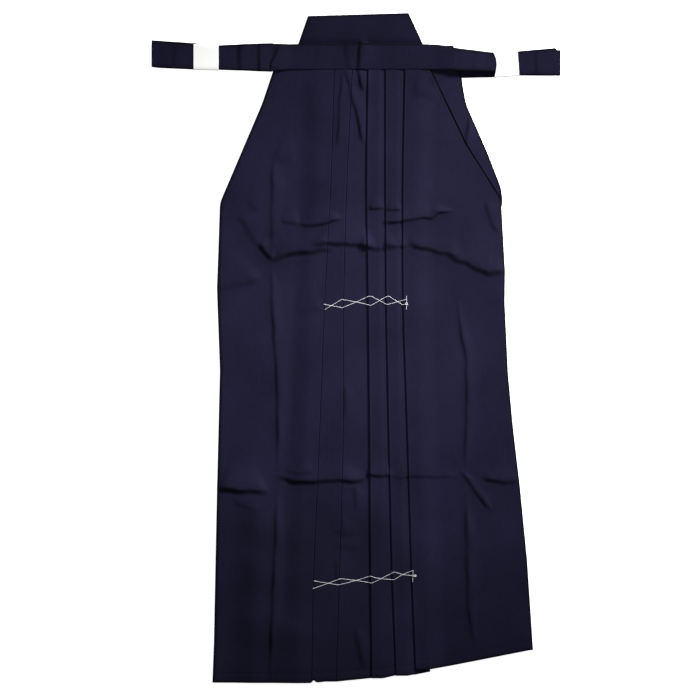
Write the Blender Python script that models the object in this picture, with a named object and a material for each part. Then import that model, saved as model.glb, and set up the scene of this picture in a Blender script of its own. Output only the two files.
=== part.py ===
"""Hakama: pleated, divided Japanese trousers with their own waistband, back board and straps,
laid flat on their back with the straps folded into two hanks, each held by a paper band.

+X is to the right of someone who looks down at the front, +Y is towards the waist, +Z is up.
The origin is the middle of the footprint, on the surface that the garment lies on.
Sizes below are in millimetres, and the meshes are in metres.
"""

import math
from collections import namedtuple

import bmesh
import bpy
import numpy as np

MM = 0.001

# Driving sizes
CLOTH = 1.2  # thickness of one layer
GAP = 0.3  # clearance between pieces
PITCH = CLOTH + GAP  # from one layer to the next
HALF_WIDTH = 318.2  # origin to the end of a hank
HALF_LENGTH = 522.2  # origin to the hem, and to the top of the back board
WAIST = 433.0  # y of the seam between the front panels and the waistband
UNDERFOLD = 14.0  # how far a pleat runs back beneath its own edge
BEYOND_UNDERFOLD = 3.0  # from the end of an underfold to where the cloth above it is level
LAYER_OVERHANG = 2.0  # how far a pleat's lowest layer runs out past the edge above it
FOLD_POINTS = 5  # points round one turn of the cloth

# Heights of the undersides of the layers
BACK_Z = 0.0
INNER_LEG_Z = BACK_Z + PITCH
PLEAT_Z = INNER_LEG_Z + PITCH  # lowest layer of a pleat
SIDE_Z = BACK_Z + PITCH  # front panels beside the pleats
SIDE_AT_WAIST_Z = 4.6  # the same, where they rise to meet the waistband
RAMP = 34.0  # width over which the front comes down beside the pleats
EDGE_MARGIN = 8.0  # the front is level for at least this far in from its side edge
SIDE_SHARES = ((0.35, 0.30), (0.70, 0.60))  # points from side edge to ramp: shares in x and in y
RAMP_FOOT_SHARE = 0.82  # how much of the hem's slope is reached at the foot of the ramp
WAIST_RISE = 75.0  # length over which the front comes up to the waistband

# Outlines and fold lines: x at each y, with the y where the line ends at the hem
Line = namedtuple("Line", "hem points")
LEFT_EDGE = Line(-HALF_LENGTH, (
    (433, -128.6), (380, -146.6), (226, -212.2), (90, -216.8), (-35, -212.2),
    (-222, -216.8), (-456, -221.5), (-522.2, -223.9),
))
RIGHT_EDGE = Line(-471.5, (
    (433, 116.4), (385, 139.5), (318, 171.6), (231, 226.2), (212, 227.2), (118, 232.4),
    (71, 231.7), (-41, 237.1), (-125, 244.9), (-219, 255.8), (-331, 266.8), (-471.5, 276.1),
))
# The pleat edges, in order from left to right. Left ones face right, and right ones face left.
LEFT_OUTER = Line(-522.2, (
    (433, -34.3), (262, -39.0), (67, -49.9), (-113, -56.2), (-362, -67.1), (-520, -69.4)))
LEFT_INNER = Line(-520.0, (
    (433, -6.2), (262, -15.0), (67, -20.3), (-113, -19.5), (-362, -26.5), (-520, -31.2)))
RIGHT_INNER = Line(-515.0, (
    (433, 18.7), (262, 16.0), (67, 18.9), (-113, 21.0), (-362, 22.6), (-515, 24.6)))
RIGHT_MIDDLE = Line(-511.0, (
    (433, 45.7), (262, 45.6), (67, 46.9), (-113, 50.4), (-362, 56.3), (-511, 62.4)))
RIGHT_OUTER = Line(-507.0, (
    (433, 76.1), (262, 72.7), (67, 73.0), (-113, 79.3), (-362, 86.9), (-507, 92.8)))
BACK_SEAM = Line(-506.0, ((434, 7.0), (-506, 12.0)))

# The back's outer edges: it shows beside the front in the right side slit only
BACK_LEFT_EDGE = ((434, -118.0), (380, -139.0), (226, -208.0), (90, -214.6), (-35, -210.0),
                  (-222, -214.6), (-456, -219.0), (-514, -221.0))
BACK_RIGHT_EDGE = ((434, 162.5), (405, 166.9), (380, 171.6), (365, 177.8), (305, 204.4),
                   (249, 226.2), (226, 228.5), (212, 225.2), (118, 230.2), (71, 229.5),
                   (-41, 234.9), (-125, 242.7), (-219, 253.6), (-331, 264.6), (-466, 273.6))
BACK_TOP = 434.0

# Inner legs: crotch gussets between front and back, from the crotch down
CROTCH = 60.0
INNER_LEG = ((CROTCH, 12.0), (-100, 44.0), (-500, 76.0))  # y, width out from the back seam

# Creases that cross the front, with the rows of points that they need
Crease = namedtuple("Crease", "y height reach")
CREASES = (Crease(152, 1.6, 16), Crease(-206, 1.4, 14))
ROWS = (433, 405, 375, 308, 231, 200, 60, -60, -150, -262, -331, -434, -HALF_LENGTH)

# Back board
BOARD_THICK = 4.0
BOARD = ((-103.8, 434.3), (-74.9, 517.5), (81.9, HALF_LENGTH), (122.6, 434.3))
BOARD_BEVEL = 1.2

# Straps, each folded back and forth into a hank. A row gives the edges at one x.
TieRow = namedtuple("TieRow", "x top bottom")
Tie = namedtuple("Tie", "z layers pitch rows")
TIE_GROOVE = 1.1  # how far the dip between two layers goes in
LAYER_SHIFTS = (0.0, 2.2, 0.6, 3.0, 1.2, 2.4, 0.0)  # how far each layer stops short of the end
LAYER_LEVELS = ((0.08, TIE_GROOVE), (0.35, 0.0), (0.65, 0.0), (0.92, TIE_GROOVE))  # share, inset
END_ROUNDING = ((0.0, 5.0), (1.5, 2.2), (5.0, 0.0))  # distance from a hank's end, and how far in
BACK_TIE_Z = 0.9
BACK_TIE_LAYERS = 4
BACK_TIE_PITCH = 0.75
FRONT_TIE_Z = BACK_TIE_Z + BACK_TIE_LAYERS * BACK_TIE_PITCH + GAP
FRONT_TIE_LAYERS = 7
FRONT_TIE_PITCH = 1.0
FRONT_TIE_TOP = FRONT_TIE_Z + FRONT_TIE_LAYERS * FRONT_TIE_PITCH
TIES = {
    "front_tie_left": Tie(FRONT_TIE_Z, FRONT_TIE_LAYERS, FRONT_TIE_PITCH, (
        TieRow(-129.6, 473.9, 434.5), TieRow(-140.0, 473.6, 430.2), TieRow(-213.7, 470.7, 432.5),
        TieRow(-252.7, 473.9, 433.3), TieRow(-306.0, 477.6, 435.6),
        TieRow(-HALF_WIDTH, 478.5, 440.0))),
    "front_tie_right": Tie(FRONT_TIE_Z, FRONT_TIE_LAYERS, FRONT_TIE_PITCH, (
        TieRow(149.8, 469.2, 434.0), TieRow(160.0, 467.6, 431.0), TieRow(209.0, 459.8, 430.0),
        TieRow(252.7, 461.4, 424.2), TieRow(306.0, 467.0, 423.6),
        TieRow(HALF_WIDTH, 463.0, 423.2))),
    "back_tie_left": Tie(BACK_TIE_Z, BACK_TIE_LAYERS, BACK_TIE_PITCH, (
        TieRow(-105.0, 470.5, 437.0), TieRow(-134.0, 470.5, 434.6), TieRow(-213.7, 468.2, 434.5),
        TieRow(-252.7, 470.8, 435.5), TieRow(-312.0, 475.0, 438.6))),
    "back_tie_right": Tie(BACK_TIE_Z, BACK_TIE_LAYERS, BACK_TIE_PITCH, (
        TieRow(123.2, 466.0, 437.0), TieRow(165.0, 464.0, 436.2), TieRow(167.4, 463.4, 420.4),
        TieRow(213.7, 457.0, 421.6), TieRow(252.7, 459.0, 426.0), TieRow(313.0, 463.6, 426.0))),
}

# Waistband: its top and bottom edges and its underside's height
BandRow = namedtuple("BandRow", "x top bottom z")
BAND_THICK = 3.3
BAND_ROUNDING = 1.3
BAND_STEP_DOWN = 1.2  # how far the band has dropped a little way in from its ends
BAND_Z = BOARD_THICK + GAP
BAND_END_Z = FRONT_TIE_TOP - BAND_THICK  # its ends lie level with the hanks
BAND = (
    BandRow(-129.2, 473.6, 433.3, BAND_END_Z),
    BandRow(-122.0, 473.2, 433.3, BAND_END_Z - BAND_STEP_DOWN),
    BandRow(-104.0, 473.1, 433.3, BAND_Z), BandRow(0.0, 473.1, 433.3, BAND_Z),
    BandRow(105.0, 473.1, 433.3, BAND_Z), BandRow(124.0, 472.2, 433.3, BAND_Z),
    BandRow(142.0, 470.2, 433.3, BAND_END_Z - BAND_STEP_DOWN),
    BandRow(149.4, 469.4, 433.3, BAND_END_Z),
)

# Paper bands round the hanks
PAPER = 0.5
PAPER_ROUNDING = 1.6  # at its outer corners
PaperRow = namedtuple("PaperRow", "x top bottom")
PAPER_BANDS = {
    "paper_band_left": (PaperRow(-252.7, 474.8, 432.4), PaperRow(-213.7, 471.6, 431.6)),
    "paper_band_right": (PaperRow(217.4, 460.6, 420.6), PaperRow(252.7, 462.3, 423.3)),
}
PAPER_TOP = FRONT_TIE_TOP + GAP


def clear_scene():
    for obj in list(bpy.data.objects):
        bpy.data.objects.remove(obj, do_unlink=True)


def make_material(name, colour, roughness):
    material = bpy.data.materials.new(name)
    material.use_nodes = True
    shader = material.node_tree.nodes["Principled BSDF"]
    shader.inputs["Base Color"].default_value = (*colour, 1.0)
    shader.inputs["Roughness"].default_value = roughness
    shader.inputs["Metallic"].default_value = 0.0
    return material


def add_object(name, mesh_data, material):
    """Turns points in millimetres and faces into an object whose faces point outwards."""
    points, faces = mesh_data
    mesh = bpy.data.meshes.new(name)
    mesh.from_pydata([tuple(c * MM for c in p) for p in points], [], faces)
    work = bmesh.new()
    work.from_mesh(mesh)
    bmesh.ops.recalc_face_normals(work, faces=work.faces)
    work.to_mesh(mesh)
    work.free()
    mesh.materials.append(material)
    mesh.shade_smooth()
    mesh.set_sharp_from_angle(angle=math.radians(40))
    obj = bpy.data.objects.new(name, mesh)
    bpy.context.scene.collection.objects.link(obj)
    return obj


def on_line(line, v):
    """The point of a line at v, from 0 at the waist to 1 at the hem."""
    y = WAIST + v * (line.hem - WAIST)
    ys, xs = zip(*reversed(line.points))
    return float(np.interp(y, ys, xs)), y


def crease_height(v):
    y = WAIST - v * (WAIST + HALF_LENGTH)
    return sum(c.height * max(0.0, 1.0 - abs(y - c.y) / c.reach) for c in CREASES)


def front_rows():
    """The rows of points from waist to hem, with three more rows for each crease."""
    ys = list(ROWS)
    for crease in CREASES:
        ys += [crease.y + crease.reach, crease.y, crease.y - crease.reach]
    return [(WAIST - y) / (WAIST + HALF_LENGTH) for y in sorted(ys, reverse=True)]


def side_height(v):
    """Height of the front beside the pleats, which rises to the waistband."""
    below_waist = v * (WAIST + HALF_LENGTH)
    share = max(0.0, 1.0 - below_waist / WAIST_RISE)
    return SIDE_Z + (SIDE_AT_WAIST_Z - SIDE_Z) * share * share


def turn(x, z_from, z_to, facing):
    """Half a circle of cloth whose outermost point is at x. facing is +1 where it bulges to +X."""
    radius = abs(z_from - z_to) / 2
    centre_x = x - facing * (radius + CLOTH / 2)
    centre_z = (z_from + z_to) / 2
    start = math.copysign(1.0, z_from - z_to)
    angles = [math.pi * k / (FOLD_POINTS - 1) for k in range(FOLD_POINTS)]
    return [
        (centre_x + facing * radius * math.sin(a), centre_z + start * radius * math.cos(a))
        for a in angles
    ]


def pleat(x, facing, top_z):
    """Cloth that arrives over a pleat edge at x, turns under, and turns back beneath itself."""
    deep = x - facing * UNDERFOLD
    return turn(x, top_z, top_z - PITCH, facing) + turn(
        deep, top_z - PITCH, top_z - 2 * PITCH, -facing
    )


def front_section(v, edge, lines, facing, last):
    """(x, y, z) along one front panel, from its side edge in to the hidden centre seam.

    A panel that runs on flat beneath the other panel's last pleat gets that pleat's point as last.
    """
    low = PLEAT_Z + CLOTH / 2
    high = low + 2 * PITCH
    side = side_height(v) + CLOTH / 2
    edge_x, edge_y = on_line(edge, v)
    outer_x, outer_y = on_line(lines[0], v)
    ramp_top = outer_x - facing * (UNDERFOLD + BEYOND_UNDERFOLD)
    ramp_foot = facing * max(facing * ramp_top - RAMP, facing * edge_x + EDGE_MARGIN)
    path = [(edge_x, edge_y, side)]
    for x_share, y_share in (*SIDE_SHARES, (1.0, RAMP_FOOT_SHARE)):
        x = edge_x + (ramp_foot - edge_x) * x_share
        path.append((x, edge_y + (outer_y - edge_y) * y_share, side))
    path.append((ramp_top, outer_y, high))
    for number, line in enumerate(lines):
        x, y = on_line(line, v)
        if number:
            path.append((x - facing * (UNDERFOLD + BEYOND_UNDERFOLD), y, high))
        folded = pleat(x, facing, high)
        is_last = number == len(lines) - 1
        if is_last and last is None:
            folded = folded[:FOLD_POINTS] + [(x - facing * UNDERFOLD, high - PITCH)]
        path += [(px, y, pz) for px, pz in folded]
        if not is_last:
            path.append((x + facing * LAYER_OVERHANG, y, low))
    if last is not None:
        last_x, last_y = last
        path.append((last_x - LAYER_OVERHANG, last_y, low))
        path.append((last_x + UNDERFOLD, last_y, low))
    return path


def ribbon(rows, rises, thickness):
    """A closed wall whose middle runs through rows of (x, y, z) points, each row lifted by its rise."""
    points = []
    for row, rise in zip(rows, rises):
        xz = np.array([(x, z) for x, _, z in row])
        tangent = np.gradient(xz, axis=0)
        tangent /= np.linalg.norm(tangent, axis=1)[:, None]
        normal = np.stack([-tangent[:, 1], tangent[:, 0]], axis=1) * thickness / 2
        for sign in (1, -1):
            for (x, y, z), (nx, nz) in zip(row, normal):
                points.append((x + sign * nx, y, z + sign * nz + rise))
    width = len(rows[0])
    faces = []
    for r in range(len(rows) - 1):
        for side in (0, width):
            a = r * 2 * width + side
            b = a + 2 * width
            faces += [(a + i, a + i + 1, b + i + 1, b + i) for i in range(width - 1)]
        a = r * 2 * width
        b = a + 2 * width
        for i in (0, width - 1):
            faces.append((a + i, b + i, b + width + i, a + width + i))
    for r in (0, len(rows) - 1):
        a = r * 2 * width
        faces += [(a + i, a + i + 1, a + width + i + 1, a + width + i) for i in range(width - 1)]
    return points, faces


def front_panel(edge, lines, facing, last_line):
    rows, rises = [], []
    for v in front_rows():
        last = on_line(last_line, v) if last_line else None
        rows.append(front_section(v, edge, lines, facing, last))
        rises.append(crease_height(v))
    return ribbon(rows, rises, CLOTH)


def slab(outline, low, high):
    """A flat plate with the outline's (x, y) points."""
    count = len(outline)
    points = [(x, y, low) for x, y in outline] + [(x, y, high) for x, y in outline]
    sides = [(i, (i + 1) % count, count + (i + 1) % count, count + i) for i in range(count)]
    return points, [tuple(range(count)), tuple(range(count, 2 * count)), *sides]


def back_panel(edge, side):
    """A flat back panel, from the centre-back seam out to its edge."""
    top_x, hem_x = (x + side * GAP / 2 for _, x in BACK_SEAM.points)
    seam = [(hem_x, BACK_SEAM.hem), (top_x, BACK_TOP)]
    return slab(seam + [(x, y) for y, x in edge], BACK_Z, BACK_Z + CLOTH)


def inner_leg(side):
    """One gusset, which widens from the crotch to the hem."""
    outer, seam = [], []
    for y, width in INNER_LEG:
        seam_x = on_line(BACK_SEAM, (WAIST - y) / (WAIST - BACK_SEAM.hem))[0]
        outer.append((seam_x + side * width, y))
        seam.append((seam_x + side * GAP / 2, y))
    return slab(outer + seam[::-1], INNER_LEG_Z, INNER_LEG_Z + CLOTH)


def rounded_ring(x, top, bottom, low, high, radius, steps=2):
    """A rounded rectangle across X, as (x, y, z) points."""
    corners = (
        (top - radius, high - radius, 0), (bottom + radius, high - radius, 90),
        (bottom + radius, low + radius, 180), (top - radius, low + radius, 270),
    )
    ring = []
    for y, z, first in corners:
        for k in range(steps + 1):
            angle = math.radians(first + 90 * k / steps)
            ring.append((x, y + radius * math.cos(angle), z + radius * math.sin(angle)))
    return ring


def loft(rings):
    """A closed solid through rings of equal length."""
    count = len(rings[0])
    points = [p for ring in rings for p in ring]
    faces = [tuple(range(count)), tuple(range(len(points) - count, len(points)))]
    for r in range(len(rings) - 1):
        a = r * count
        faces += [
            (a + i, a + (i + 1) % count, a + count + (i + 1) % count, a + count + i)
            for i in range(count)
        ]
    return points, faces


def waistband():
    rings = []
    for row in BAND:
        high = row.z + BAND_THICK
        rings.append(rounded_ring(row.x, row.top, row.bottom, row.z, high, BAND_ROUNDING))
    return loft(rings)


def tie_ring(tie, z, inset, shift):
    """One level of a hank, seen from above: the straps' edges, with rounded ends."""
    start, end = tie.rows[0].x, tie.rows[-1].x
    outward = math.copysign(1.0, end - start)
    first = start + outward * inset
    last = end - outward * (inset + shift)
    stations = [(first + outward * d, r) for d, r in END_ROUNDING]
    for row in tie.rows[1:-1]:
        share = (row.x - start) / (end - start)
        stations.append((first + share * (last - first), 0.0))
    stations += [(last - outward * d, r) for d, r in reversed(END_ROUNDING)]
    order = sorted(tie.rows)
    xs = [row.x for row in order]
    upper, lower = [], []
    for x, rounded in stations:
        upper.append((x, np.interp(x, xs, [r.top for r in order]) - inset - rounded, z))
        lower.append((x, np.interp(x, xs, [r.bottom for r in order]) + inset + rounded, z))
    return upper + lower[::-1]


def folded_tie(tie):
    """A rounded stack of folds, with a groove between each two."""
    rings = []
    for layer in range(tie.layers):
        shift = LAYER_SHIFTS[layer % len(LAYER_SHIFTS)] if layer else 0.0
        low = tie.z + layer * tie.pitch
        for share, inset in LAYER_LEVELS:
            rings.append(tie_ring(tie, low + share * tie.pitch, inset, shift))
    return loft(rings)


def paper_band(rows):
    """A paper sleeve round a hank."""
    rings = []
    for row in rows:
        rings.append(rounded_ring(row.x, row.top + PAPER, row.bottom - PAPER, 0.0,
                                  PAPER_TOP + PAPER, PAPER_ROUNDING))
        rings.append(rounded_ring(row.x, row.top, row.bottom, PAPER, PAPER_TOP,
                                  PAPER_ROUNDING - PAPER))
    count = len(rings[0])
    points = [p for ring in rings for p in ring]
    faces = []
    for a, b in ((0, 1), (1, 3), (3, 2), (2, 0)):
        faces += [
            (a * count + i, a * count + (i + 1) % count, b * count + (i + 1) % count, b * count + i)
            for i in range(count)
        ]
    return points, faces


def main():
    clear_scene()
    cloth = make_material("navy_cloth", (0.015, 0.014, 0.034), 0.85)
    paper = make_material("paper", (0.85, 0.85, 0.84), 0.8)

    add_object("back_left", back_panel(BACK_LEFT_EDGE, -1), cloth)
    add_object("back_right", back_panel(BACK_RIGHT_EDGE, 1), cloth)
    add_object("inner_leg_left", inner_leg(-1), cloth)
    add_object("inner_leg_right", inner_leg(1), cloth)
    add_object(
        "front_left",
        front_panel(LEFT_EDGE, (LEFT_OUTER, LEFT_INNER), 1, RIGHT_INNER),
        cloth,
    )
    add_object(
        "front_right",
        front_panel(RIGHT_EDGE, (RIGHT_OUTER, RIGHT_MIDDLE, RIGHT_INNER), -1, None),
        cloth,
    )
    add_object("front_band", waistband(), cloth)

    board = add_object("back_board", slab(BOARD, 0.0, BOARD_THICK), cloth)
    bevel = board.modifiers.new("rounded edges", "BEVEL")
    bevel.width = BOARD_BEVEL * MM
    bevel.segments = 2

    for name, tie in TIES.items():
        add_object(name, folded_tie(tie), cloth)
    for name, rows in PAPER_BANDS.items():
        add_object(name, paper_band(rows), paper)


main()
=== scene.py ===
"""Looks of the hakama: cloth shells, folded straps, paper bands, stitches, light and camera.

Sizes in the tables are in millimetres, in the frame of the CAD model: +X to the right of someone
who looks down at the front, +Y towards the waist, +Z up, and the origin in the middle of the
footprint. MM turns them into metres.
"""

import math
from collections import namedtuple

import bmesh
import bpy
import numpy as np
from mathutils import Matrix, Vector
from mathutils.bvhtree import BVHTree


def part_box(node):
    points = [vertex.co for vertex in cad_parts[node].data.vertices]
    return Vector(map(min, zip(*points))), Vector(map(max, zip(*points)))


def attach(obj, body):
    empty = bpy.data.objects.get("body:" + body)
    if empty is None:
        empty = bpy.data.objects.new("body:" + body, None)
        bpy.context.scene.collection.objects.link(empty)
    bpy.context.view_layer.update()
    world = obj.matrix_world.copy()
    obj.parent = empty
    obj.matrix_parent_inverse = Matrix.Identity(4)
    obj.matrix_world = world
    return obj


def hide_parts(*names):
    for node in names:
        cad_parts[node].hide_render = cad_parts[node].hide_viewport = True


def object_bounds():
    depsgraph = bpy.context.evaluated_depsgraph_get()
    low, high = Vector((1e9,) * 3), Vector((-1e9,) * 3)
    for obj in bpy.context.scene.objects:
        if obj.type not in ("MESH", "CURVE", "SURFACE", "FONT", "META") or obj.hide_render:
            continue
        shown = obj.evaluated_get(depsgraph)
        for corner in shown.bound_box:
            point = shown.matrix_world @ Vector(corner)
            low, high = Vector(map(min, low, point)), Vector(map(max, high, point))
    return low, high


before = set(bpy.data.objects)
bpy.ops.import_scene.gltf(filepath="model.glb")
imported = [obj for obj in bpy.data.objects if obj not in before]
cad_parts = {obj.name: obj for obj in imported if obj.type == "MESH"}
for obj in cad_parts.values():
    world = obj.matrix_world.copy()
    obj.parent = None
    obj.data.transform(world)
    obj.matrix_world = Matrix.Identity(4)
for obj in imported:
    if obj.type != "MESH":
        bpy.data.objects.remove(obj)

MM = 0.001
CAD_BOX = [[float(c) for c in corner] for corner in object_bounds()]
HALF_LENGTH = CAD_BOX[1][1] / MM
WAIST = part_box("front_left")[1].y / MM  # y of the seam between front panels and waistband
TUCKED = WAIST + 3.0  # the fronts go this far up under the waistband

# ---- cloth and layers
CLOTH = 0.8  # thickness of one layer
LAYER = 1.15  # from one layer of a pleat to the next
BACK_MIDDLE = 0.5  # heights of the middle of each layer, from the backs up
INNER_LEG_MIDDLE = 2.1
SIDE_MIDDLE = 2.3  # the front beside its side seam
SIDE_AT_WAIST = 5.2  # and where it has climbed to the waistband
PLEAT_LOW = 3.5
PLEAT_HIGH = PLEAT_LOW + 2 * LAYER
WAIST_RISE = 75.0  # that climb starts this far below the waist
RAMP = 34.0  # width of the slope from the side up over the outer underfold
RAMP_SLANT = 0.82  # share of the hem's slant that lies between side seam and slope
EDGE_MARGIN = 8.0  # the slope starts at least this far from the side seam
SEAM_DIP = 0.9  # how far the front comes down to the back at the side seams
SEAM_DIP_WIDTH = 5.0
EDGE_SHADE_WIDTH = 3.1  # width of the painted shade along an edge
DEEPEST_HOLLOW = -0.55

UNDERFOLD = 14.0  # how far a pleat reaches in beneath the cloth
LEVEL = 3.0  # from a fold or the end of an underfold to where the cloth lies level
PRESSED = 1.4  # width of the pressed ridge along a fold
PRESSED_RIDGE = 0.12
FOLD_SHADE = 0.3  # how dark the painted shade on the left front's folds is
# the right front:
FOLD_LIFT = 0.8  # how far the next layer springs up beside a fold
CLIMB_SHADE = 0.12  # how dark the painted shade is where a layer climbs over an underfold
UNDERFOLD_WIDER = 9.0  # how much deeper the outer underfold is at the hem
UNDERFOLD_SLANT = 4.5  # how much its hem rises on the way in
UNDERFOLD_PEEK = 7.5  # how far it shows below the layer on top
# both fronts:
DIM_SHADE = 0.27  # how much painted shade darkens the cloth towards the lower left, where less light falls
DIM_FROM = (95.0, -215.0)  # where that starts
DIM_REACH = (90.0, 70.0)  # and how gradually

HEM_DEPTH = 14.5  # from the hem up to its line of stitches
HEM_GROOVE = 0.35  # depth of the dent along the stitches
NICK_X = -66.0  # a nick in the hem beside the outer left pleat
NICK_WIDTH = 3.0
NICK_DEPTH = 4.0
BACK_TOP = 434.0
BACK_INSET = 2.2  # how far the back's right edge keeps inside the front's below the slit
SEAM_GAP = 0.15  # half the gap between left and right panels behind the fronts
SLIT_GAP = 0.7  # between the front's edge and the strip of the back that shows beside it
SLIT_RISE = 2.1  # how far that strip stands above the rest of the back
SLIT_STEP = 0.9  # width of the step up to it
SLIT_LEAST = 1.6  # least width of the strip

# ---- edges and folds, seen from above
# Points are (y, x), from the waist down; rounding is how far the corners are rounded along y.
Line = namedtuple("Line", "hem rounding points")
LEFT_EDGE = Line(-HALF_LENGTH, 7.0, (
    (433, -128.6), (380, -146.6), (226, -212.2), (90, -216.8), (-35, -212.2),
    (-222, -216.8), (-456, -221.5), (-522.2, -223.9)))
RIGHT_EDGE = Line(-471.5, 7.0, (
    (433, 116.4), (385, 139.5), (318, 171.6), (231, 226.2), (212, 227.2), (118, 232.4),
    (71, 231.7), (-41, 237.1), (-125, 244.9), (-219, 255.8), (-331, 266.8), (-471.5, 276.1)))
LEFT_OUTER = Line(-522.2, 60.0, (
    (433, -34.3), (262, -39.0), (67, -49.9), (-113, -56.2), (-362, -67.1), (-520, -69.4)))
LEFT_INNER = Line(-520.0, 60.0, (
    (433, -6.2), (262, -15.0), (67, -20.3), (-113, -19.5), (-362, -26.5), (-520, -31.2)))
RIGHT_INNER = Line(-515.0, 60.0, (
    (433, 18.7), (262, 16.0), (67, 18.9), (-113, 21.0), (-362, 22.6), (-515, 24.6)))
RIGHT_MIDDLE = Line(-511.0, 60.0, (
    (433, 45.7), (262, 45.6), (67, 46.9), (-113, 50.4), (-362, 56.3), (-511, 62.4)))
RIGHT_OUTER = Line(-509.5, 60.0, (
    (433, 76.1), (262, 72.7), (67, 73.0), (-113, 79.3), (-362, 86.9), (-507, 92.8)))
BACK_SEAM = Line(-506.0, 10.0, ((BACK_TOP, 7.0), (-506, 12.0)))
BACK_LEFT_EDGE = Line(-514.0, 7.0, (
    (434, -118.0), (380, -139.0), (226, -208.0), (90, -214.6), (-35, -210.0),
    (-222, -214.6), (-456, -219.0), (-514, -221.0)))
BACK_RIGHT_EDGE = Line(-466.0, 7.0, (
    (434, 162.5), (405, 166.9), (380, 171.6), (365, 177.8), (305, 204.4), (249, 226.2),
    (226, 228.5), (212, 225.2), *((y, x - BACK_INSET) for y, x in RIGHT_EDGE.points[5:-1]),
    (-466, 273.6)))
CROTCH = (60.0, 9.0)  # y and x of the top of the seam between the inner legs
INNER_SEAM_DRIFT = 3.0  # how far that seam moves to the right on its way down
INNER_LEG = Line(-500.0, 10.0, ((60, 12.0), (-100, 44.0), (-500, 76.0)))  # x from that seam

# ---- the creases
# Height is how far the ridge stands up, and width is how far its steep side reaches.
Crease = namedtuple("Crease", "height width points")
GENTLE = 5.0  # width of a crease's gentle side, as a multiple of its steep side
LIP = 0.10  # height of the lip beyond the drop, as a share of the crease's
END_FADE = 0.24  # share of its length over which a crease fades out, at each end
END_TAPER = 0.42  # and over which its gentle side narrows
WANDERING = 5.0  # a crease wider than this strays no further from its line than one this wide
CREASE_SHADE = 0.62  # how dark the painted shade is in the drop of a sharp crease


def creases(*rows):
    return [Crease(*row) for row in rows]


FRONT_CREASES = creases(
    # folds across the legs, from packing: the upper ones
    (1.4, 6.0, ((-186, 206), (-173, 197), (-153, 165), (-142, 152))),
    (3.4, 4.2, ((-150, 164), (-140, 151), (-131, 142), (-127, 140))),
    (4.0, 5.6, ((-140, 137), (-124, 142), (-104, 149), (-86, 152), (-49, 156), (-32, 157))),
    (4.1, 5.6, ((-70, 163), (-48, 165), (-20, 166), (0, 164), (18, 160), (32, 157))),
    (2.9, 5.4, ((2, 159), (17, 159), (32, 158), (48, 159), (66, 160))),
    (1.6, 3.6, ((40, 163), (60, 161), (82, 160))),
    (3.2, 5.0, ((80, 165), (97, 160), (112, 156), (129, 152), (140, 151), (152, 147), (166, 141))),
    (3.4, 5.0, ((142, 146), (158, 138), (172, 135), (195, 124), (206, 118), (217, 120),
        (242, 121))),
    (2.6, 3.2, ((-92, 194), (-75, 192), (-62, 193), (-40, 198), (-18, 203))),
    (1.4, 3.6, ((-118, 199), (-104, 198), (-88, 195))),
    (2.2, 2.8, ((19, 219), (45, 218))),
    (1.9, 2.6, ((46, 216), (72, 216))),
    (3.0, 2.8, ((36, 195), (47, 196), (72, 199), (104, 204), (117, 204), (127, 212), (154, 214))),
    (2.1, 7.0, ((-226, 97), (-200, 99), (-176, 104), (-146, 113))),
    (1.0, 7.0, ((-96, 62), (-74, 62), (-51, 64))),
    # and the lower ones
    (4.8, 6.0, ((-220, -217), (-190, -218), (-165, -220), (-141, -222), (-135, -221))),
    (1.3, 5.0, ((-190, -238), (-165, -247), (-150, -252))),
    (3.6, 5.0, ((-126, -197), (-111, -201), (-97, -206), (-83, -207), (-68, -205), (-28, -204),
        (2, -204), (22, -203))),
    (1.0, 4.0, ((-112, -190), (-90, -194), (-62, -190))),
    (2.8, 4.0, ((14, -197), (34, -197), (58, -196))),
    (1.3, 4.0, ((50, -200), (80, -199), (110, -198), (162, -200))),
    (2.6, 4.0, ((196, -200), (208, -203), (222, -207), (234, -208), (258, -203))),
    (2.1, 1.7, ((163, -190), (172, -202), (189, -226), (200, -240), (213, -255))),
    # folds along the legs
    (1.5, 3.2, ((-128, 300), (-129, 240), (-130, 190), (-130, 150))),
    (1.9, 2.7, ((-131, 136), (-130, 78), (-126, 10), (-122, -44), (-121, -120), (-121, -196))),
    (1.7, 2.4, ((-122, -212), (-124, -290), (-128, -375), (-131, -450), (-133, -526))),
    (4.6, 27.0, ((-150, -225), (-152, -375), (-155, -450), (-158, -565))),
    (2.0, 16.0, ((-112, -410), (-113, -480), (-114, -570))),
    (1.7, 2.3, ((158, 84), (162, 43), (167, 13), (173, -18), (174, -82), (172, -150), (171, -197))),
    (1.9, 2.5, ((172, -226), (174, -301), (175, -360), (176, -404), (182, -442), (188, -466))),
    # wrinkles at the waist, soft hollows and small dents
    (2.6, 3.4, ((4, 440), (5, 430), (8, 418), (13, 400))),
    (2.4, 3.2, ((-9, 412), (-4, 388), (5, 356), (13, 315))),
    (1.6, 3.0, ((-16, 438), (-12, 420), (-8, 404))),
    (1.3, 3.0, ((-20, 430), (-22, 405), (-25, 370), (-27, 310))),
    (1.7, 4.0, ((203, 230), (208, 212), (214, 196), (222, 178))),
    (1.2, 8.0, ((-168, 240), (-158, 226), (-149, 213))),
    (1.1, 8.0, ((88, 404), (104, 400), (128, 391))),
    (1.0, 9.0, ((-128, 302), (-112, 298), (-92, 297))),
    (1.7, 3.2, ((0, -432), (4, -455), (8, -475), (12, -500))),
    (1.1, 2.2, ((0, -212), (0, -256))),
    (1.0, 2.2, ((-20, -262), (-20, -290))),
    (1.0, 2.2, ((-29, -326), (-29, -361))),
    (1.0, 2.4, ((-16, -56), (-16, -110))),
    (0.9, 3.0, ((-38, -282), (-18, -289), (6, -286))),
    (0.8, 3.0, ((-34, -306), (-12, -311), (8, -309))),
)
BACK_CREASES = creases(
    (1.5, 2.2, ((178, 362), (175, 340), (171, 312))),
)

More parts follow.
